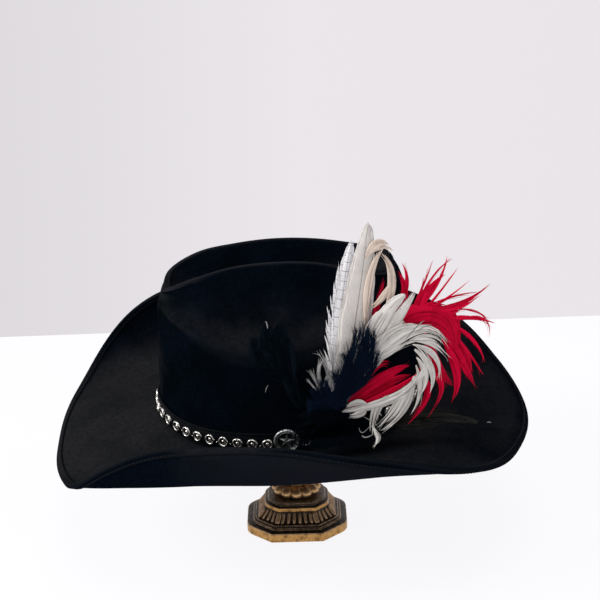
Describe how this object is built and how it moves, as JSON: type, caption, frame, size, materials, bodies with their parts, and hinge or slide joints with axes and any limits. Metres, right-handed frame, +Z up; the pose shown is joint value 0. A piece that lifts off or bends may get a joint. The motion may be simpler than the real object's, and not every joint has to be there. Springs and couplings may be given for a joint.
{
  "type": "wide-brim hat on display stand",
  "caption": "Wide-brim felt hat with a studded band, a star medallion and a bunch of plumes, resting on a small octagonal display stand.",
  "frame": {"origin": "middle of the underside of the stand's foot, where it rests on the floor", "axes": "+Z up, -Y towards the front of the hat, +X towards the side with the plumes"},
  "size_m": [0.3358, 0.3798, 0.2751],
  "materials": {
    "felt": "matt black suede-like felt",
    "binding": "matt black folded edge strip",
    "strap": "black strap with bright ring studs",
    "silver": "worn silver-coloured casting, dark in the recesses",
    "navy_plume": "navy to black down",
    "white_plume": "warm white feather",
    "red_plume": "crimson dyed feather",
    "olive_plume": "very dark olive feather",
    "bronze": "antique bronze, brown-black in the recesses"
  },
  "bodies": {
    "root": {"felt_body": "felt", "brim_binding": "binding", "hat_band": "strap", "star_medallion": "silver", "plume_head": "navy_plume", "white_barred": "white_plume", "crown_plume": "navy_plume", "red_back": "red_plume", "brim_plume": "olive_plume", "white_tall": "white_plume", "red_fan": "red_plume", "white_bent": "white_plume", "white_fluff": "white_plume", "white_middle": "white_plume", "red_low": "red_plume", "white_sweep": "white_plume", "red_fringe": "red_plume", "white_crook": "white_plume", "navy_main": "navy_plume", "stand_foot": "bronze", "stand_knop": "bronze", "stand_post": "bronze", "stand_cap": "bronze"}
  },
  "joints": []
}
